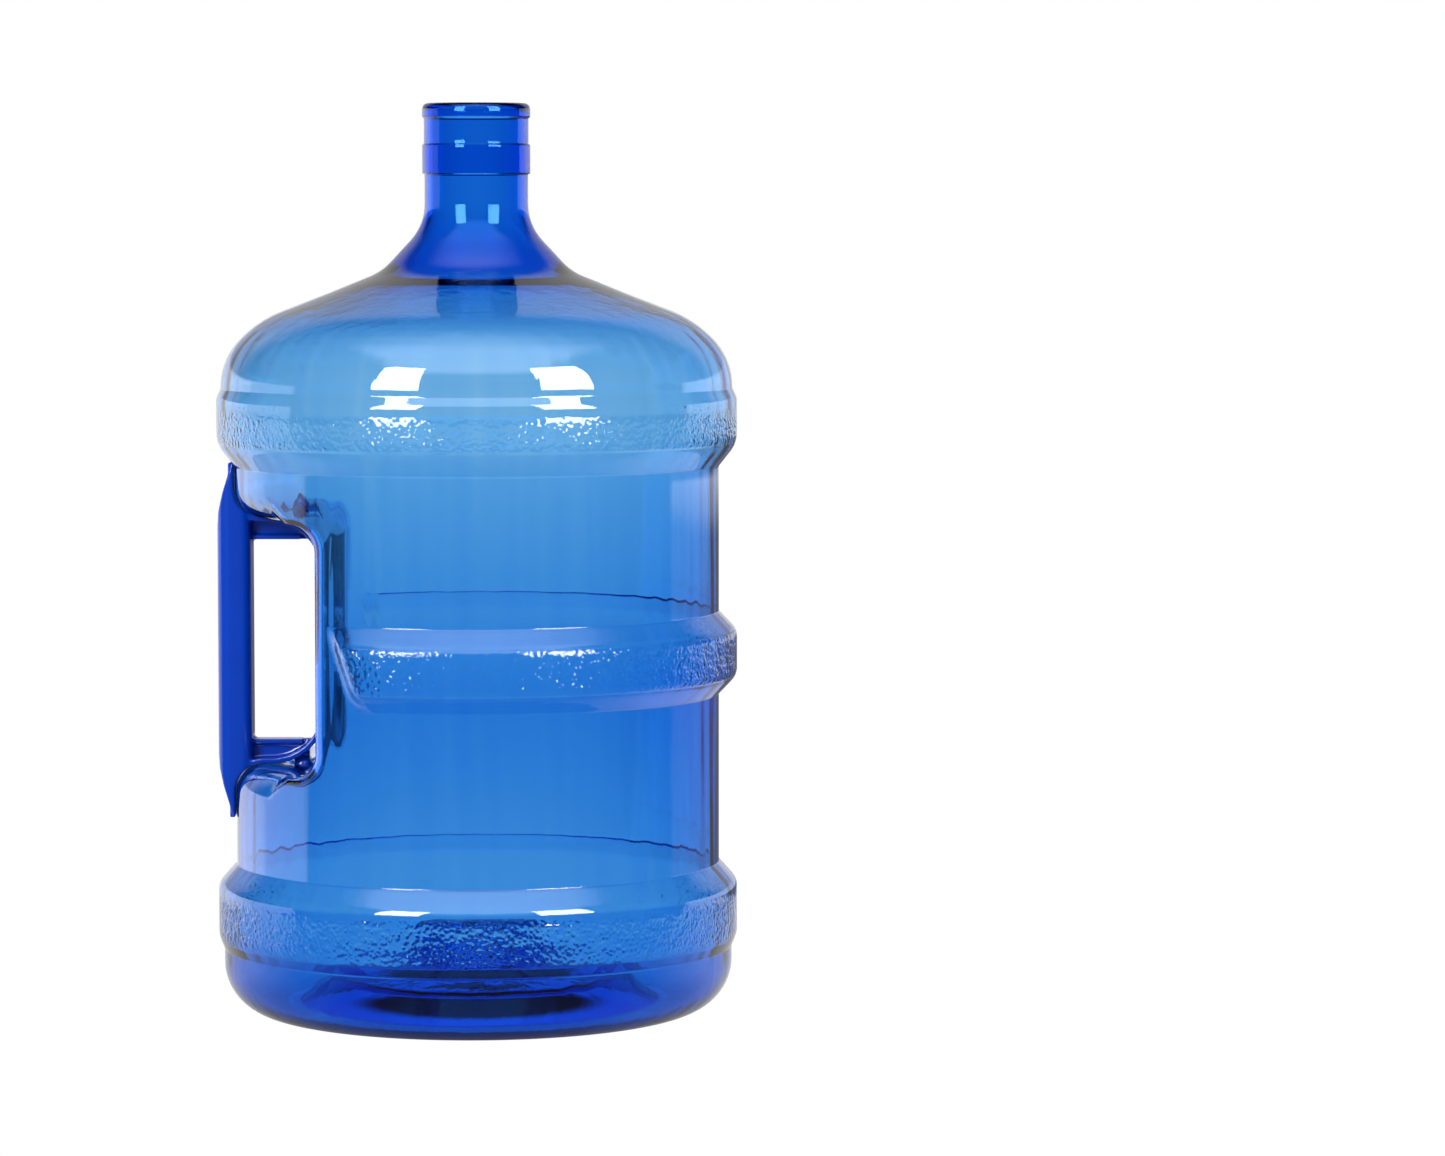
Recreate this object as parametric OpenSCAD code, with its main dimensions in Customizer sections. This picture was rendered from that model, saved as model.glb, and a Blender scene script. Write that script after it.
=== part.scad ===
// Large water jug: a blow-moulded bottle with a handle pocket in one side, and the
// separately moulded handle that sits in the pocket.
// The jug's axis is Z, the origin is at the middle of its base and the handle is on -X.

/* [Overall] */
// Height from the base to the rim
height = 472; // [460:1:500]
// Diameter over the bands
band_d = 270; // [266:1:276]
// Diameter of the recessed panels between the bands
panel_d = 251; // [246:1:254]
// Thickness of the blown wall
wall = 1.3; // [1.2:0.1:2]

/* [Neck] */
// Bore through the neck
bore_d = 45.8; // [44:0.1:46.4]
// Outer diameter of the plain neck
neck_d = 54.2; // [54:0.1:54.6]
// Diameter of the collar and the rim bead that the snap cap grips
collar_d = 56; // [55.6:0.1:56.4]

/* [Bands and panels] */
// Height of the groove under the dome
upper_groove_z = 285; // [283:1:288]
// Height of the top edge of the middle band
mid_top_z = 209; // [207:1:211]
// Height of the bottom edge of the middle band
mid_bottom_z = 166; // [164:1:168]
// Height of the top edge of the lower band
lower_top_z = 78; // [76:1:79]

/* [Base] */
// Radius that rounds the wall into the base
base_round = 27; // [24:1:28]
// Inner radius of the foot ring
foot_inner_r = 93; // [90:1:95]
// Height of the punt in the middle of the base
punt_h = 38; // [34:1:42]

/* [Handle pocket] */
// Distance from the jug's axis to the pocket's back wall
pocket_x = 78; // [76:1:80]
// Height of the pocket's upper face
pocket_top_z = 259; // [256:1:261]
// Height of the pocket's lower face
pocket_bottom_z = 129.6; // [127:0.1:133]
// Radius of the pocket's corners
pocket_round = 14; // [12:1:15]

/* [Handle] */
// Width of the grip, front to back
grip_w = 27; // [24:1:30]
// Depth of the grip
grip_t = 17.7; // [16:0.1:18.5]
// Width of the legs
leg_w = 24; // [20:1:26]
// Thickness of the plate that lies along the pocket
plate_t = 3; // [2.5:0.5:4]
// Thickness of the web that stiffens each leg
web_t = 6; // [5:1:10]
// Height of the finger opening's upper edge
finger_top_z = 246.3; // [244:0.1:248]
// Height of the finger opening's lower edge
finger_bottom_z = 142.3; // [140:0.1:145]
// Diameter of the lugs that lock the legs into the bottle
lug_d = 10; // [8:1:12]
// How far the upper plate runs down the back wall, below the finger opening's upper edge
upper_plate_run = 56; // [18:1:70]
// How far the lower plate runs up the back wall, above the finger opening's lower edge
lower_plate_run = 26; // [18:1:30]

/* [Hidden] */
fn = 96;
arc_step = 12;               // degrees between the points of a rounded corner
gap = 0.15;                  // clearance between the handle and the bottle
past = 30;                   // how far the pocket's cutter runs past the wall
band_r = band_d / 2;
panel_r = panel_d / 2;
bore_r = bore_d / 2;
neck_r = neck_d / 2;
collar_r = collar_d / 2;
lower_r = band_r - 2.8;      // the wall under the lower band's step
rim_h = 7.2;                 // height of the rim bead
collar_top = 21.5;           // collar's edges, measured down from the rim
collar_bottom = 36.2;
flare_drop = 62.8;           // from the rim to where the neck meets the flare
throat_r = neck_r - 0.3;     // the neck's radius where it turns into the flare
neck_wall = throat_r - bore_r;
step_down = 10;              // height of a band's 45 degree edge
lug_x = 91;                  // lug centres, inboard of the pocket's mouth
lug_rise = 1;                // lug centres, outside the pocket's faces
lug_l = 8;                   // length of each lug between its round ends
mid_z = (pocket_top_z + pocket_bottom_z) / 2;
tip_z = pocket_top_z + pocket_round + 13.6;
tip_corner_z = pocket_top_z + 2;
leg_round = 25;              // curve of the plate towards the pocket's back wall
leg_depth = 8;               // the web stops this far short of the pocket's inner corner
finger_round = 3;            // fillet of the finger opening at the grip
channel_w = 13;              // groove along the outside of the grip
channel_d = 7;
flange_w = 12;               // stiffening edge of each web
flange_t = 2.5;
outer_x = band_r - 0.3;      // the grip's outer face
inner_x = outer_x - grip_t;  // the grip's face towards the fingers
colour_bottle = [0.30, 0.58, 0.92, 0.55];
colour_handle = [0.02, 0.25, 0.72];

// Corners of the outer wall below the neck, from the flare down to the foot:
// [distance from the axis, height, corner radius, wall thickness].
flare_z = height - flare_drop;
WALL = [
    [throat_r, flare_z, 28, neck_wall],
    [49, flare_z - 23.9, 30, 3.4],
    [78, 373.6, 200, 2.6],
    [112.4, 360.4, 60, wall + 0.2],
    [band_r - 2.4, 340.2, 35, wall],
    [band_r - 2.4, 325, 2.5, wall],
    [band_r, 319.8, 12, wall],
    [band_r, upper_groove_z + 11.4, 16, wall],
    [panel_r, upper_groove_z - 0.6, 3, wall],
    [panel_r, mid_top_z, 3, wall],
    [band_r, mid_top_z - step_down, 9, wall],
    [band_r, mid_bottom_z + step_down, 9, wall],
    [panel_r, mid_bottom_z, 3, wall],
    [panel_r, lower_top_z + 0.5, 3, wall],
    [band_r, lower_top_z - step_down, 8, wall],
    [band_r, 41, 12, wall],
    [lower_r, 34.2, 3, wall],
    [lower_r, 0.8, base_round, wall + 0.3],
    [foot_inner_r + 7, 0, 0, wall + 0.8],
    [foot_inner_r, 0, 3, wall + 0.8],
    [74, 15.5, 8, wall + 1],
    [36, 25, 5, wall + 1.6],
    [28, punt_h - 1, 5, wall + 2],
    [0, punt_h, 0, wall + 2]
];
NECK = [
    [0, height, 0],
    [collar_r, height, 3.2],
    [collar_r, height - rim_h, 0.8],
    [neck_r, height - rim_h - 0.7, 0],
    [neck_r, height - collar_top + 0.4, 0],
    [collar_r, height - collar_top, 0.5],
    [collar_r, height - collar_bottom, 0.5],
    [throat_r, height - collar_bottom - 0.6, 0]
];

function unit(v) = v / norm(v);
function flat(p) = [p[0], p[1]];

// The arc that rounds corner p between its neighbours a and b.
function corner(a, p, b) =
    let (
        u = unit(flat(a) - flat(p)),
        v = unit(flat(b) - flat(p)),
        turn = 180 - acos(max(-1, min(1, u * v)))
    )
    p[2] <= 0 || turn < 0.5 ? [flat(p)] :
    let (
        centre = flat(p) + unit(u + v) * p[2] / cos(turn / 2),
        start = flat(p) + u * p[2] * tan(turn / 2) - centre,
        finish = flat(p) + v * p[2] * tan(turn / 2) - centre,
        side = sign(start[0] * finish[1] - start[1] * finish[0]),
        steps = max(1, ceil(turn / arc_step)),
        first = atan2(start[1], start[0])
    )
    [for (i = [0:steps]) centre + p[2] * [cos(first + side * turn * i / steps),
                                          sin(first + side * turn * i / steps)]];

// An open path through the corners, each rounded to its own radius.
function rounded(pts) = [
    for (i = [0:len(pts) - 1])
        for (q = i == 0 || i == len(pts) - 1 ? [flat(pts[i])]
                                             : corner(pts[i - 1], pts[i], pts[i + 1])) q
];

// Corner p moved inwards by its wall thickness, on a path that runs down the outside.
function inset(a, p, b) =
    let (
        d = unit(flat(p) - flat(a)),
        e = unit(flat(b) - flat(p)),
        n = [d[1], -d[0]],
        m = [e[1], -e[0]],
        bend = d[0] * e[1] - d[1] * e[0],
        q = flat(p) + p[3] * (n + m) / (1 + n * m)
    )
    [q[0], q[1], bend < 0 ? max(p[2] - p[3], 0.4) : p[2] + p[3]];

// The inside: the bore runs into the flare, and the rest follows the outer wall.
last = len(WALL) - 1;
mouth_z = height + 5;
INNER = concat(
    [[0, mouth_z, 0], [bore_r, mouth_z, 0]],
    [for (i = [0:last - 1]) inset(i == 0 ? [throat_r, mouth_z] : WALL[i - 1], WALL[i], WALL[i + 1])],
    [[0, WALL[last][1] + WALL[last][3], 0]]
);

// Side view of the pocket, open towards the outside; the grown one leaves room for the wall.
module pocket_side(grow) {
    r = pocket_round;
    mouth = panel_r + 0.01;
    path = rounded([
        [-mouth - past, pocket_top_z + r + past, 0],
        [-mouth + grow, pocket_top_z + r + past, 0],
        [-mouth + grow, pocket_top_z + grow, max(r - grow, 1)],
        [-pocket_x + grow, pocket_top_z + grow, r + grow],
        [-pocket_x + grow, pocket_bottom_z - grow, r + grow],
        [-mouth + grow, pocket_bottom_z - grow, max(r - grow, 1)],
        [-mouth + grow, pocket_bottom_z - r - past, 0],
        [-mouth - past, pocket_bottom_z - r - past, 0]
    ]);
    polygon(path);
}

// Turns a shape drawn as [x, z] into a slab of the given width across Y.
module slab(width) {
    rotate([90, 0, 0])
        linear_extrude(width, center = true) children();
}

// Mirrors what is drawn above the pocket's middle to its place below it.
module below() {
    translate([0, 0, 2 * mid_z]) mirror([0, 0, 1]) children();
}

// Draws it in both places.
module above_and_below() {
    children();
    below() children();
}

// A round-ended bar across the top of each leg.
module lugs(grow) {
    above_and_below()
        translate([-lug_x, 0, pocket_top_z + lug_rise]) {
            rotate([90, 0, 0])
                cylinder(h = lug_l, d = lug_d + 2 * grow, center = true, $fn = fn);
            for (y = [-lug_l / 2, lug_l / 2])
                translate([0, y, 0]) sphere(d = lug_d + 2 * grow, $fn = fn);
        }
}

// The pocket and the two sockets that its faces have for the lugs.
module pocket(grow) {
    slab(band_d + 20) pocket_side(grow);
    lugs(grow);
}

module bottle_body() color(colour_bottle) {
    difference() {
        rotate_extrude($fn = fn) polygon(rounded(concat(NECK, WALL)));
        pocket(0);
        difference() {
            rotate_extrude($fn = fn) polygon(rounded(INNER));
            pocket(wall);
        }
    }
}

// Side view of the leg's plate: it follows the pocket's mouth and face, then leaves the
// face in a wide curve, comes to rest on the pocket's back wall and runs along it.
function plate_path(drop, run) = [
    [-panel_r - gap - drop, tip_z, 0],
    [-panel_r - gap - drop, pocket_top_z - gap - drop, pocket_round + drop],
    [-lug_x - 15, pocket_top_z - gap - drop, 20],
    [-pocket_x - gap - drop, pocket_top_z - 3.2 - drop, leg_round + plate_t - drop],
    [-pocket_x - gap - drop, finger_top_z - run, 0]
];
function reversed(list) = [for (i = [len(list) - 1:-1:0]) list[i]];

module plate(run) {
    slab(leg_w)
        polygon(concat(rounded(plate_path(0, run)), reversed(rounded(plate_path(plate_t, run)))));
}

// Side view of the tip and of all that fills the leg, down to the pocket's middle.
module half_side() {
    top = rounded(plate_path(0, upper_plate_run));
    polygon(concat(
        [for (q = top) if (q[1] > pocket_top_z - leg_depth) q],
        [[-pocket_x - leg_depth, mid_z], [-outer_x, mid_z]],
        corner([-outer_x, mid_z], [-outer_x, tip_corner_z, 60], [-panel_r - 1, tip_z]),
        [[-panel_r - 1, tip_z]]
    ));
}

// The finger opening in side view: rounded at the grip, open towards the bottle's wall.
module finger_side() {
    polygon(rounded([
        [0, finger_top_z, 0],
        [-inner_x, finger_top_z, finger_round],
        [-inner_x, finger_bottom_z, finger_round],
        [0, finger_bottom_z, 0]
    ]));
}

// A rounded rectangle between x0 and x1, centred across Y.
module round_bar(x0, x1, width, r_outer, r_inner) {
    polygon(rounded([
        [(x0 + x1) / 2, width / 2, 0],
        [x0, width / 2, r_outer],
        [x0, -width / 2, r_outer],
        [x1, -width / 2, r_inner],
        [x1, width / 2, r_inner],
        [(x0 + x1) / 2, width / 2, 0]
    ]));
}

// The grip: a channel, open on its outer side, whose two rails close into the tips.
module grip() {
    difference() {
        intersection() {
            above_and_below() slab(grip_w) half_side();
            linear_extrude(height) round_bar(-outer_x, -inner_x, grip_w, 7, 5);
        }
        translate([0, 0, pocket_bottom_z])
            linear_extrude(pocket_top_z - pocket_bottom_z)
                round_bar(-outer_x - channel_d, -outer_x + channel_d, channel_w, 3, 3);
    }
}

// The web in the middle of the leg, with a flange along the finger opening.
module web() {
    slab(web_t)
        difference() {
            intersection() {
                half_side();
                translate([-inner_x - 2, 0]) square([inner_x - pocket_x - 2, height]);
            }
            finger_side();
        }
    translate([-inner_x - 2, -flange_w / 2, finger_top_z])
        cube([inner_x - lug_x + 2, flange_w, flange_t]);
}

// The short stem that carries each lug across the space between plate and pocket.
module lug_stem() {
    translate([-lug_x - lug_d / 3, -lug_l / 2, pocket_top_z - 7])
        cube([2 * lug_d / 3, lug_l, 7 + lug_rise]);
}

module handle_insert() color(colour_handle) {
    grip();
    plate(upper_plate_run);
    below() plate(lower_plate_run);
    above_and_below() {
        web();
        lug_stem();
    }
    lugs(-gap);
}

bottle_body();
handle_insert();
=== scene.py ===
"""Looks for the large water jug: the clear blue bottle and its handle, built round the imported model."""

import math

import bmesh
import bpy
import numpy as np
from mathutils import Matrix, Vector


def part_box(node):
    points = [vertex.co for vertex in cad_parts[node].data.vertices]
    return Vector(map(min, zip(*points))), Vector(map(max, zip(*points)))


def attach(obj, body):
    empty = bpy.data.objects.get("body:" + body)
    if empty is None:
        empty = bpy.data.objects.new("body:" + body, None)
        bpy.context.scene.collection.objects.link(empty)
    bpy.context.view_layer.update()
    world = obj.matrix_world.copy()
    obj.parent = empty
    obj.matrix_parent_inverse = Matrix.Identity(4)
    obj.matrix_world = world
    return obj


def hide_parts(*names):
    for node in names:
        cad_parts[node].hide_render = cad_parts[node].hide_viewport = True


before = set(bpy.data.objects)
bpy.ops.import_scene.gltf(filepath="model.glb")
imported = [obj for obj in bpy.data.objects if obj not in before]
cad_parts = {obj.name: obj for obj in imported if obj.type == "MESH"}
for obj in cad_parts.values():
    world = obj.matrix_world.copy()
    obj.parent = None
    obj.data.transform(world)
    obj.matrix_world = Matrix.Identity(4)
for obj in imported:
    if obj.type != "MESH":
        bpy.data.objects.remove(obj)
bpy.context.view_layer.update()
MM = 0.001

# ---------------------------------------------------------------- sizes, in millimetres
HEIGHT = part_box("bottle_body")[1][2] / MM
BAND_R = -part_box("bottle_body")[0][0] / MM
PANEL_R = 125.5
BORE_R = 22.9
NECK_R = 27.1
COLLAR_R = 28.0
LOWER_R = BAND_R - 2.8
THROAT_R = NECK_R - 0.3   # radius at which the neck turns into the flare
WALL = 1.3                # wall of the dome; it gets thicker from the groove under it downwards
GROOVE_WALL = 1.7
UPPER_WALL = 2.3
LOWER_WALL = 2.9
FLOOR_WALL = 3.6
PUNT_WALL = 2.2
FLARE_Z = HEIGHT - 62.8   # height at which the neck turns into the flare
DOME_EDGE_Z = 340.2       # height at which the dome's top meets its upright side
GROOVE_Z = 285.0
MID_TOP = 209.0
MID_BOTTOM = 166.0
LOWER_TOP = 78.0
BASE_ROUND = 27.0
FOOT_R = 93.0
PUNT_H = 38.0
POCKET_X = 78.0
POCKET_TOP = 259.0
POCKET_BOTTOM = 129.6
POCKET_ROUND = 14.0
EDGE_BLEND = 7.0          # how far the pocket's upright edges are rounded
LUG_X = 91.0
LUG_H = 8.0               # height of the bulge over each lug
LUG_REACH = 9.5           # its radius, beyond the lug's straight stretch
LUG_HALF = 4.0            # half the length of that stretch
TIP_HALF = 15.0           # half the width over which the wall makes room for the handle's upper tip
TIP_BLEND = 6.0           # width over which that room fades out
TIP_LIFT = 3.0            # how much higher the groove under the dome starts there
BAND_END = 55.0           # degrees from the handle's side at which the middle band's upper edge begins
BAND_SLANT = 0.17         # degrees that it begins later for each millimetre further down
BAND_BEVEL = 6.0          # degrees over which it rises to its full height
STREAK = 0.08             # depth of the streaks in the wall's inner side
FACE_ROWS = 44            # rows of points over each of the pocket's faces


# ---------------------------------------------------------------- outlines
def unit(v):
    return v / np.linalg.norm(v)


def rounded(corners, step=5.0):
    """A path of [radius, height] through corners of [radius, height, corner radius, ...], each an arc."""
    out = []
    for i, c in enumerate(corners):
        p = np.array(c[:2], float)
        if i in (0, len(corners) - 1) or c[2] <= 0:
            out.append(p)
            continue
        u = unit(np.array(corners[i - 1][:2]) - p)
        v = unit(np.array(corners[i + 1][:2]) - p)
        turn = math.pi - math.acos(float(np.clip(u @ v, -1, 1)))
        if turn < 0.01:
            out.append(p)
            continue
        centre = p + unit(u + v) * c[2] / math.cos(turn / 2)
        a = p + u * c[2] * math.tan(turn / 2) - centre
        b = p + v * c[2] * math.tan(turn / 2) - centre
        side = np.sign(a[0] * b[1] - a[1] * b[0])
        n = max(2, math.ceil(math.degrees(turn) / step))
        first = math.atan2(a[1], a[0])
        for k in range(n + 1):
            t = first + side * turn * k / n
            out.append(centre + c[2] * np.array([math.cos(t), math.sin(t)]))
    return np.array(out)


def spaced(path, longest=5.0):
    """The path with points added so that no stretch is longer than `longest`."""
    out = [path[0]]
    for a, b in zip(path[:-1], path[1:]):
        n = max(1, math.ceil(np.linalg.norm(b - a) / longest))
        out += [a + (b - a) * k / n for k in range(1, n + 1)]
    return np.array(out)


def inset(corners):
    """The corners moved inwards by their wall thickness, on a path that runs down the outside."""
    out = []
    for a, c, b in zip(corners[:-2], corners[1:-1], corners[2:]):
        p = np.array(c[:2], float)
        d, e = unit(p - a[:2]), unit(np.array(b[:2]) - p)
        n, m = np.array([d[1], -d[0]]), np.array([e[1], -e[0]])
        q = p + c[3] * (n + m) / (1 + n @ m)
        bend = d[0] * e[1] - d[1] * e[0]
        out.append([q[0], q[1], max(c[2] - c[3], 0.4) if bend < 0 else c[2] + c[3]])
    return out


# Corners of the outer wall from the rim down: [radius, height, corner radius, wall thickness]. The neck's
# corners have no thickness, because its inside is the straight bore.
NECK = [
    [BORE_R, HEIGHT, 0], [COLLAR_R, HEIGHT, 3.2], [COLLAR_R, HEIGHT - 7.2, 0.8], [NECK_R, HEIGHT - 7.9, 0.5],
    [NECK_R, HEIGHT - 21.1, 0.3], [COLLAR_R, HEIGHT - 21.5, 0.5], [COLLAR_R, HEIGHT - 36.2, 0.5],
    [THROAT_R, HEIGHT - 36.8, 0.4],
]
DOME = [
    [THROAT_R, FLARE_Z, 28, THROAT_R - BORE_R], [49, FLARE_Z - 23.9, 30, 5], [62, 380.06, 30, 2.6],
    [78, 373.6, 150, 2.2], [112.4, 360.4, 60, WALL + 0.2], [BAND_R - 2.4, DOME_EDGE_Z, 35, WALL],
    [BAND_R - 2.4, 325, 2.5, WALL], [BAND_R, 319.8, 7, WALL], [BAND_R, GROOVE_Z + 11.4, 16, WALL],
    [PANEL_R, GROOVE_Z - 0.6, 1.5, GROOVE_WALL],
]
MIDDLE = [
    [PANEL_R, MID_TOP, 1, UPPER_WALL], [BAND_R, MID_TOP - 10, 9, UPPER_WALL],
    [BAND_R, MID_BOTTOM + 10, 9, LOWER_WALL], [PANEL_R, MID_BOTTOM, 1, LOWER_WALL],
]
BASE = [
    [PANEL_R, LOWER_TOP + 0.5, 1, UPPER_WALL], [BAND_R, LOWER_TOP - 10, 8, UPPER_WALL - 0.2],
    [BAND_R, 41, 12, UPPER_WALL - 0.2], [LOWER_R, 34.2, 1.2, LOWER_WALL],
    [LOWER_R, 0.8, BASE_ROUND, FLOOR_WALL], [FOOT_R + 7, 0, 1, FLOOR_WALL], [FOOT_R, 0, 3, FLOOR_WALL],
    [74, 15.5, 8, FLOOR_WALL], [36, 25, 5, FLOOR_WALL], [28, PUNT_H - 1, 5, PUNT_WALL],
    [0, PUNT_H, 0, PUNT_WALL],
]
OUTER = NECK + DOME + MIDDLE + BASE
BODY = DOME + MIDDLE + BASE
INNER = [[BORE_R, HEIGHT, 0]] + inset([[THROAT_R, HEIGHT, 0]] + BODY) + [[0, PUNT_H + PUNT_WALL, 0]]


def ease(t):
    """0 at 0 and 1 at 1, level at both ends."""
    return t * t * (3 - 2 * t)


def soft_min(a, b, k):
    """The smaller of a and b, rounded over where they differ by less than k."""
    h = np.maximum(k - np.abs(a - b), 0) / k
    return np.minimum(a, b) - h * h * k / 4


def face_curve(wall_r, lean, pocket_x, z, r_out, r_in, up):
    """Upper (up=1) or lower face of the pocket in one half-plane, from the panel in to the back wall.

    wall_r gives the panel's radius at a height, and lean is how much longer the half-plane is than the pocket
    is deep. The outer arc, r_out, shrinks where the pocket is shallow; the inner one, r_in, is the pocket's
    own corner and runs straight across it."""
    a = min(max(wall_r(z) - (pocket_x + r_in) * lean, 0.0), r_out)
    quarter = np.linspace(0, math.pi / 2, 25)
    rise = z + up * (a - a * np.sin(quarter))
    outer_arc = np.stack([wall_r(rise) - a + a * np.cos(quarter), rise], 1)
    corner_x = (pocket_x + r_in - r_in * np.sin(quarter)) * lean
    drop = z - up * (r_in - r_in * np.cos(quarter))
    inner_arc = np.stack([soft_min(wall_r(drop), corner_x, EDGE_BLEND), drop], 1)
    start = z + up * r_out
    path = np.concatenate([[[wall_r(start), start]], outer_arc, inner_arc])
    run = np.concatenate([[0], np.cumsum(np.linalg.norm(np.diff(path, axis=0), axis=1))])
    s = np.linspace(0, run[-1], FACE_ROWS)
    return np.stack([np.interp(s, run, path[:, 0]), np.interp(s, run, path[:, 1])], 1)


def angles():
    """Angles from the handle's side, closer together over the lugs and at the pocket's edges."""
    half = np.concatenate([
        np.arange(0, 12, 0.6), np.arange(12, 44, 1.2), np.arange(44, 62, 0.75), np.arange(62, 180, 1.2),
    ])
    return np.radians(np.concatenate([-half[:0:-1], half, [180]]))


def band_share(phi, z):
    """How far the middle band stands out of the panel: it ends in a slanting bevel beside the pocket."""
    start = BAND_END + (MID_TOP - z) * BAND_SLANT
    return ease(np.clip((abs(math.degrees(phi)) - start) / BAND_BEVEL, 0, 1))


def streaks(phi, z):
    """Upright streaks in the wall's thickness, as the blown plastic leaves them."""
    draw = np.random.default_rng(5)
    total = np.zeros(len(z))
    for _ in range(40):
        waves, phase, lean, wander = draw.integers(8, 75), *draw.uniform(0, 2 * math.pi, 3)
        total += np.sin(waves * phi + phase + 1.5 * np.sin(z / 90 + lean) + 0.5 * np.sin(z / 31 + wander))
    return total / math.sqrt(40)


def shell(corners, grow):
    """Grid of points [angle, along the outline, xyz] of the wall's outer side, where grow is 0, or of its
    inner side, where grow is the wall's thickness round the pocket."""
    path = spaced(rounded(corners))
    z = path[:, 1]
    upright = path[(z > BASE_ROUND) & (z < DOME_EDGE_Z)]

    def wall_r(height):
        return np.interp(-np.asarray(height), -upright[:, 1], upright[:, 0])

    pocket_x = POCKET_X - grow
    top, bottom = POCKET_TOP + grow, POCKET_BOTTOM - grow
    r_out, r_in = POCKET_ROUND - grow, POCKET_ROUND + grow
    first = int(np.argmax(z < top + r_out))
    last = len(z) - 1 - int(np.argmax(z[::-1] > bottom - r_out))
    middle = path[first:last + 1]
    middle = middle[(middle[:, 1] < top - r_in) & (middle[:, 1] > bottom + r_in)]
    ends = [[wall_r(h), h] for h in (top + r_out, top - r_in, bottom + r_in, bottom - r_out)]
    wall_path = spaced(np.concatenate([[ends[1]], middle, [ends[2]]]), 4)
    band_low, band_high = MID_BOTTOM - 3, MID_TOP + 3
    level = np.interp(wall_path[:, 1], [band_low, band_high], [wall_r(band_low), wall_r(band_high)])
    on_band = (wall_path[:, 1] > band_low) & (wall_path[:, 1] < band_high)
    level = np.where(on_band, level, wall_path[:, 0])       # the wall as it would be without the middle band
    upper_path = np.concatenate([path[:first], [ends[0]]])
    lower_path = np.concatenate([[ends[3]], path[last + 1:]])
    columns = []
    for phi in angles():
        lean = 1 / math.cos(phi) if abs(phi) < math.radians(80) else 10.0   # 10: far from the pocket
        bulge = (wall_path[:, 0] - level) * band_share(phi, wall_path[:, 1])
        back = soft_min(level + bulge, pocket_x * lean, EDGE_BLEND)
        upper_face = face_curve(wall_r, lean, pocket_x, top, r_out, r_in, 1)
        lower_face = face_curve(wall_r, lean, pocket_x, bottom, r_out, r_in, -1)[::-1]
        wall = np.stack([back, wall_path[:, 1]], 1)
        column = np.concatenate([upper_path, upper_face[1:-1], wall, lower_face[1:-1], lower_path])
        sideways = np.abs(column[:, 0] * math.sin(phi))
        seat = np.clip((TIP_HALF + TIP_BLEND - sideways) / TIP_BLEND, 0, 1) * (math.cos(phi) > 0)
        groove = (column[:, 1] > GROOVE_Z - 9) & (column[:, 1] < GROOVE_Z + 20)     # panel to dome
        column[groove, 0] = wall_r(column[groove, 1] - TIP_LIFT * ease(seat)[groove])
        if grow:
            shown = (column[:, 0] > PANEL_R - 10) & (column[:, 1] > BASE_ROUND)     # outside the pocket
            column[shown, 0] += STREAK * streaks(phi, column[shown, 1])
        x, y = -column[:, 0] * math.cos(phi), -column[:, 0] * math.sin(phi)
        height = column[:, 1].copy()
        across = np.maximum(np.abs(y) - LUG_HALF, 0)
        spread = np.hypot(x + LUG_X, across) / (LUG_REACH + grow)
        swell = (LUG_H + grow * 0.3) * np.maximum(1 - spread ** 2, 0) ** 2
        n = FACE_ROWS - 2
        start = len(upper_path)
        height[start:start + n] += swell[start:start + n]
        stop = start + n + len(wall)
        height[stop:stop + n] -= swell[stop:stop + n]
        columns.append(np.stack([x, y, height], 1))
    return np.array(columns)


# ---------------------------------------------------------------- meshes
def mesh_object(name, verts, faces):
    mesh = bpy.data.meshes.new(name)
    mesh.from_pydata([tuple(v) for v in verts], [], faces)
    mesh.validate()
    mesh.update()
    obj = bpy.data.objects.new(name, mesh)
    bpy.context.scene.collection.objects.link(obj)
    mesh.shade_smooth()
    return obj


def bottle():
    """The blown wall as one closed mesh: its outside, its inside and the rim that joins them."""
    sides = [shell(OUTER, 0.0), shell(INNER, UPPER_WALL)]
    verts, faces = [], []
    for grid, outline, flip in zip(sides, (OUTER, INNER), (False, True)):
        grid = grid[:, :-1]
        columns, rows = grid.shape[:2]
        base = len(verts)
        verts += list(grid.reshape(-1, 3) * MM)
        pole = len(verts)                                   # the last point of every column, on the axis
        verts.append(np.array([0, 0, outline[-1][1]]) * MM)
        for c in range(columns):
            d = (c + 1) % columns
            for k in range(rows - 1):
                a, b = base + c * rows + k, base + d * rows + k
                quad = [a, a + 1, b + 1, b]
                faces.append(quad[::-1] if flip else quad)
            tri = [base + c * rows + rows - 1, pole, base + d * rows + rows - 1]
            faces.append(tri[::-1] if flip else tri)
    obj = mesh_object("bottle", verts, faces)
    bm = bmesh.new()
    bm.from_mesh(obj.data)
    bmesh.ops.remove_doubles(bm, verts=bm.verts, dist=0.002 * MM)
    bmesh.ops.recalc_face_normals(bm, faces=bm.faces)
    bm.to_mesh(obj.data)
    bm.free()
    obj.data.shade_smooth()
    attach(obj, "root")
    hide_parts("bottle_body")
    return obj


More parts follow.
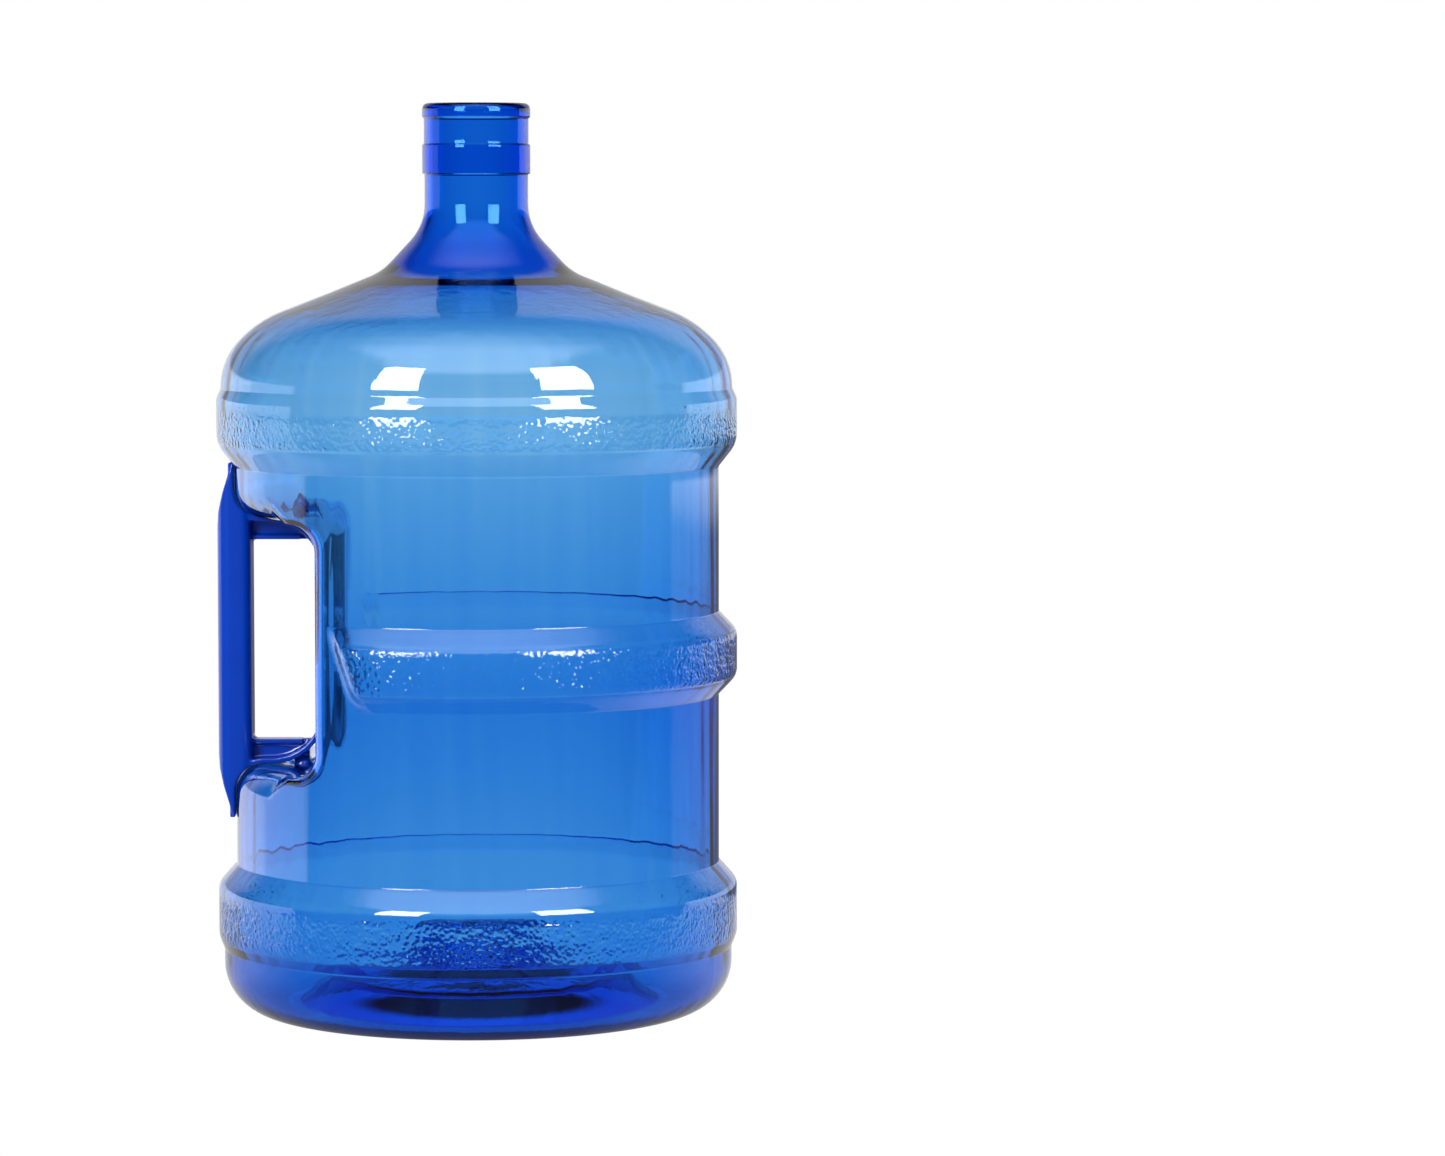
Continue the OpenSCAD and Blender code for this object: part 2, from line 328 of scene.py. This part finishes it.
def handle():
    """The moulded handle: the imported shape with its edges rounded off."""
    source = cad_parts["handle_insert"]
    obj = bpy.data.objects.new("handle", source.data.copy())
    bpy.context.scene.collection.objects.link(obj)
    remesh = obj.modifiers.new("remesh", "REMESH")
    remesh.mode = "VOXEL"
    remesh.voxel_size = 0.6 * MM
    remesh.use_smooth_shade = True
    soften = obj.modifiers.new("smooth", "SMOOTH")
    soften.factor = 0.5
    soften.iterations = 12
    bpy.context.view_layer.update()
    shaped = bpy.data.meshes.new_from_object(obj.evaluated_get(bpy.context.evaluated_depsgraph_get()))
    obj.modifiers.clear()
    obj.data = shaped
    obj.data.materials.clear()
    obj.data.shade_smooth()
    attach(obj, "root")
    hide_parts("handle_insert")
    return obj


# ---------------------------------------------------------------- materials
class Nodes:
    """Short calls for building a material's node tree."""

    def __init__(self, name):
        self.material = bpy.data.materials.new(name)
        self.material.use_nodes = True
        self.tree = self.material.node_tree
        self.shader = self.tree.nodes["Principled BSDF"]
        self.output = self.tree.nodes["Material Output"]

    def add(self, kind, inputs=(), **settings):
        node = self.tree.nodes.new(kind)
        for key, value in settings.items():
            setattr(node, key, value)
        for key, value in dict(inputs).items():
            if hasattr(value, "is_output"):
                self.tree.links.new(value, node.inputs[key])
            else:
                node.inputs[key].default_value = value
        return node

    def math(self, operation, a, b=0.0, c=0.0):
        return self.add("ShaderNodeMath", {0: a, 1: b, 2: c}, operation=operation).outputs[0]

    def ramp(self, value, low, high):
        """0 below low, 1 above high, smooth between them."""
        return self.add("ShaderNodeMapRange", {"Value": value, "From Min": low, "From Max": high},
                        interpolation_type="SMOOTHSTEP").outputs["Result"]

    def blend(self, share, a, b):
        """Colour a where share is 0, colour b where it is 1."""
        return self.add("ShaderNodeMix", {0: share, 6: a, 7: b}, data_type="RGBA").outputs[2]

    def link(self, a, b):
        self.tree.links.new(a, b)


def bottle_material():
    """Clear plastic that takes its colour from its thickness, pebbled on the outside of the three bands."""
    n = Nodes("clear_blue_polycarbonate")
    place = n.add("ShaderNodeTexCoord").outputs["Object"]
    z = n.add("ShaderNodeSeparateXYZ", {"Vector": place}).outputs["Z"]

    def band(low, high, soft):
        return n.math("MULTIPLY", n.ramp(z, low - soft, low + soft),
                      n.math("SUBTRACT", 1.0, n.ramp(z, high - soft, high + soft)))

    pebbled = n.math("MAXIMUM", band(0.294, 0.313, 0.003), band(0.173, 0.1995, 0.003))
    pebbled = n.math("MAXIMUM", pebbled, band(0.042, 0.063, 0.003))
    flat = n.add("ShaderNodeVectorMath", {0: place, 1: (1.0, 1.0, 0.0)}, operation="MULTIPLY").outputs[0]
    reach = n.add("ShaderNodeVectorMath", {0: flat}, operation="LENGTH").outputs["Value"]
    pebbled = n.math("MULTIPLY", pebbled, n.ramp(reach, (BAND_R - 1.1) * MM, (BAND_R - 0.6) * MM))
    pebble = n.add("ShaderNodeTexVoronoi", {"Vector": place, "Scale": 480.0, "Randomness": 1.0},
                   feature="SMOOTH_F1").outputs["Distance"]        # lumps of about 2 mm
    drift = n.add("ShaderNodeTexNoise", {"Vector": place, "Scale": 140.0, "Detail": 2.0}).outputs[0]
    peel = n.math("MULTIPLY", n.math("ADD", n.math("MULTIPLY", pebble, 0.7), drift), pebbled)
    stretched = n.add("ShaderNodeMapping", {"Vector": place, "Scale": (60.0, 60.0, 3.0)}).outputs[0]
    streak = n.add("ShaderNodeTexNoise", {"Vector": stretched, "Scale": 1.0, "Detail": 3.0}).outputs[0]
    sway = n.add("ShaderNodeTexNoise", {"Vector": place, "Scale": 18.0, "Detail": 1.0}).outputs[0]
    coarse = n.add("ShaderNodeBump", {"Height": sway, "Distance": 0.0005, "Strength": 0.5})
    lines = n.add("ShaderNodeBump", {"Height": streak, "Distance": 0.0003, "Strength": 0.5,
                                     "Normal": coarse.outputs[0]})
    fine = n.add("ShaderNodeBump", {"Height": peel, "Distance": 0.0006, "Strength": 1.0,
                                    "Normal": lines.outputs[0]})
    n.link(fine.outputs[0], n.shader.inputs["Normal"])
    n.shader.inputs["Base Color"].default_value = (1, 1, 1, 1)
    n.shader.inputs["Transmission Weight"].default_value = 1.0
    n.shader.inputs["IOR"].default_value = 1.585
    n.shader.inputs["Roughness"].default_value = 0.02
    sheen = n.blend(n.ramp(z, 0.382, 0.4), (1, 1, 1, 1), (0.12, 0.45, 1.0, 1))     # bluer on the neck
    n.link(sheen, n.shader.inputs["Specular Tint"])
    volume = n.add("ShaderNodeVolumeAbsorption", {"Color": (0.05, 0.62, 0.94, 1), "Density": 700.0})
    n.link(volume.outputs[0], n.output.inputs["Volume"])
    return n.material


def handle_material():
    """Opaque, fairly glossy plastic with a fine grain."""
    n = Nodes("deep_blue_plastic")
    place = n.add("ShaderNodeTexCoord").outputs["Object"]
    cloud = n.add("ShaderNodeTexNoise", {"Vector": place, "Scale": 45.0, "Detail": 3.0}).outputs[0]
    n.link(n.blend(cloud, (0.0, 0.024, 0.27, 1), (0.0, 0.034, 0.33, 1)), n.shader.inputs["Base Color"])
    grain = n.add("ShaderNodeTexNoise", {"Vector": place, "Scale": 900.0, "Detail": 2.0}).outputs[0]
    bump = n.add("ShaderNodeBump", {"Height": grain, "Distance": 0.0001, "Strength": 0.3})
    n.link(bump.outputs[0], n.shader.inputs["Normal"])
    n.shader.inputs["Roughness"].default_value = 0.16
    n.shader.inputs["IOR"].default_value = 1.585
    return n.material


# ---------------------------------------------------------------- studio
def camera():
    """Level with the neck, 2.8 m in front of the jug and a little to its right, with a long lens."""
    data = bpy.data.cameras.new("camera")
    data.sensor_width = 36.0
    data.lens = 134.3
    obj = bpy.data.objects.new("camera", data)
    bpy.context.scene.collection.objects.link(obj)
    obj.location = (0.1274, -2.797, 0.4282)
    obj.rotation_euler = (math.radians(90 - 4.138), 0, 0)
    bpy.context.scene.camera = obj


def softbox(name, azimuth, width, low, high, distance, power):
    """An upright soft light, azimuth degrees to the right of the camera as the jug sees it."""
    data = bpy.data.lights.new(name, "AREA")
    data.shape = "RECTANGLE"
    data.size = width
    data.size_y = high - low
    data.energy = power
    obj = bpy.data.objects.new(name, data)
    bpy.context.scene.collection.objects.link(obj)
    obj.visible_camera = False
    obj.visible_transmission = False
    turn = math.radians(azimuth)
    obj.location = (distance * math.sin(turn), -distance * math.cos(turn), (low + high) / 2)
    obj.rotation_euler = (math.radians(90), 0, turn)


def studio():
    """A white studio. Rays straight through the jug see plain white, and rays that it reflected see the
    light panels beside it, the backdrop and the scrim overhead, with dark gaps between them."""
    softbox("softbox_left", -33, 0.7, 0.52, 1.95, 1.9, 55)
    softbox("softbox_right", 42, 0.85, 0.52, 1.95, 1.9, 64)
    world = bpy.data.worlds.new("studio")
    bpy.context.scene.world = world
    world.use_nodes = True
    tree = world.node_tree
    tree.nodes.clear()

    def node(kind, **settings):
        made = tree.nodes.new(kind)
        for key, value in settings.items():
            setattr(made, key, value)
        return made

    def put(socket, value):
        if hasattr(value, "is_output"):
            tree.links.new(value, socket)
        else:
            socket.default_value = value

    def calc(operation, a, b=0.0):
        made = node("ShaderNodeMath", operation=operation)
        put(made.inputs[0], a)
        put(made.inputs[1], b)
        return made.outputs[0]

    def ramp(value, low, high, a=0.0, b=1.0):
        made = node("ShaderNodeMapRange", interpolation_type="SMOOTHSTEP")
        settings = {"Value": value, "From Min": low, "From Max": high, "To Min": a, "To Max": b}
        for key, number in settings.items():
            put(made.inputs[key], number)
        return made.outputs["Result"]

    split = node("ShaderNodeSeparateXYZ")
    put(split.inputs[0], node("ShaderNodeTexCoord").outputs["Generated"])
    x, y, z = split.outputs
    level = calc("SQRT", calc("ADD", calc("MULTIPLY", x, x), calc("MULTIPLY", y, y)))
    behind = calc("DIVIDE", y, level)                      # -1 in front of the jug, 1 behind it
    left = calc("ADD", ramp(behind, -0.09, -0.03, 0.0, 1.2), ramp(behind, 0.46, 0.52, 0.0, 0.45))
    left = calc("MULTIPLY", left, ramp(x, 0.01, -0.01))
    right = calc("MULTIPLY", ramp(behind, 0.27, 0.33, 0.0, 1.4), ramp(z, -0.065, -0.05, 0.2, 1.0))
    right = calc("MULTIPLY", right, ramp(x, -0.01, 0.01))
    panels = calc("ADD", left, right)
    panels = calc("MULTIPLY", panels, ramp(behind, 0.72, 0.97, 1.0, 0.6))
    panels = calc("MULTIPLY", panels, ramp(z, 0.09, 0.13, 1.0, 0.0))
    backdrop = calc("MULTIPLY", ramp(y, 0.58, 0.78, 0.0, 0.6), ramp(z, 0.09, 0.13))
    backdrop = calc("MULTIPLY", backdrop, ramp(z, 0.72, 0.85, 1.0, 0.0))
    scrim = calc("MULTIPLY", ramp(z, 0.5, 0.65), ramp(y, 0.35, -0.25, 0.0, 1.9))
    scrim = calc("MULTIPLY", scrim, ramp(calc("ABSOLUTE", x), 0.45, 0.6, 1.0, 0.0))
    shone = calc("ADD", calc("ADD", panels, backdrop), calc("ADD", scrim, 0.02))
    light = node("ShaderNodeMix", data_type="FLOAT")
    bounced = calc("GREATER_THAN", node("ShaderNodeLightPath").outputs["Glossy Depth"], 0.5)
    put(light.inputs[0], bounced)
    put(light.inputs[2], 1.0)
    put(light.inputs[3], shone)
    shine = node("ShaderNodeBackground")
    put(shine.inputs["Color"], (1, 1, 1, 1))
    put(shine.inputs["Strength"], light.outputs[0])
    put(node("ShaderNodeOutputWorld").inputs["Surface"], shine.outputs[0])


def floor():
    """A white disc like the background, with a painted shadow under the jug: dark in the middle and blue
    towards its edge, as painted light that came through the blue plastic.
    """
    rings = [0.02, 0.04, 0.06, 0.08, 0.1, 0.12, 0.2, 0.3, 0.45, 0.6]
    count = 96
    verts = [(0, 0, 0)]
    for r in rings:
        verts += [(r * math.cos(2 * math.pi * k / count), r * math.sin(2 * math.pi * k / count), 0)
                  for k in range(count)]
    faces = [(0, 1 + k, 1 + (k + 1) % count) for k in range(count)]
    for ring in range(len(rings) - 1):
        a, b = 1 + ring * count, 1 + (ring + 1) * count
        faces += [(a + k, b + k, b + (k + 1) % count, a + (k + 1) % count) for k in range(count)]
    mesh = bpy.data.meshes.new("floor")
    mesh.from_pydata(verts, [], faces)
    obj = bpy.data.objects.new("floor", mesh)
    bpy.context.scene.collection.objects.link(obj)
    n = Nodes("white_floor_with_painted_shadow")
    place = n.add("ShaderNodeTexCoord").outputs["Object"]
    reach = n.add("ShaderNodeVectorMath", {0: place}, operation="LENGTH").outputs["Value"]
    # painted shadow: near black under the middle of the jug, then painted blue light from the plastic, then
    # plain white
    under = n.blend(n.ramp(reach, 0.052, 0.072), (0.0, 0.002, 0.02, 1), (0.08, 0.4, 1.0, 1))
    floor_and_painted_shadow = n.blend(n.ramp(reach, 0.09, 0.102), under, (1, 1, 1, 1))
    bounced = n.math("GREATER_THAN", n.add("ShaderNodeLightPath").outputs["Glossy Depth"], 0.5)
    depth = n.add("ShaderNodeSeparateXYZ", {"Vector": place}).outputs["Y"]
    dimmed = n.math("SUBTRACT", 0.9, n.math("MULTIPLY", n.ramp(depth, -0.15, 0.05), 0.65))
    strength = n.math("SUBTRACT", 1.0, n.math("MULTIPLY", bounced, dimmed))  # dimmer in reflections
    glow = n.add("ShaderNodeEmission", {"Color": floor_and_painted_shadow, "Strength": strength})
    n.link(glow.outputs[0], n.output.inputs["Surface"])
    mesh.materials.append(n.material)


camera()
body = bottle()
body.data.materials.append(bottle_material())
grip = handle()
grip.data.materials.append(handle_material())
studio()
floor()
scene = bpy.context.scene
scene.view_settings.view_transform = "Standard"
scene.cycles.max_bounces = 24
scene.cycles.transmission_bounces = 24
scene.cycles.glossy_bounces = 8
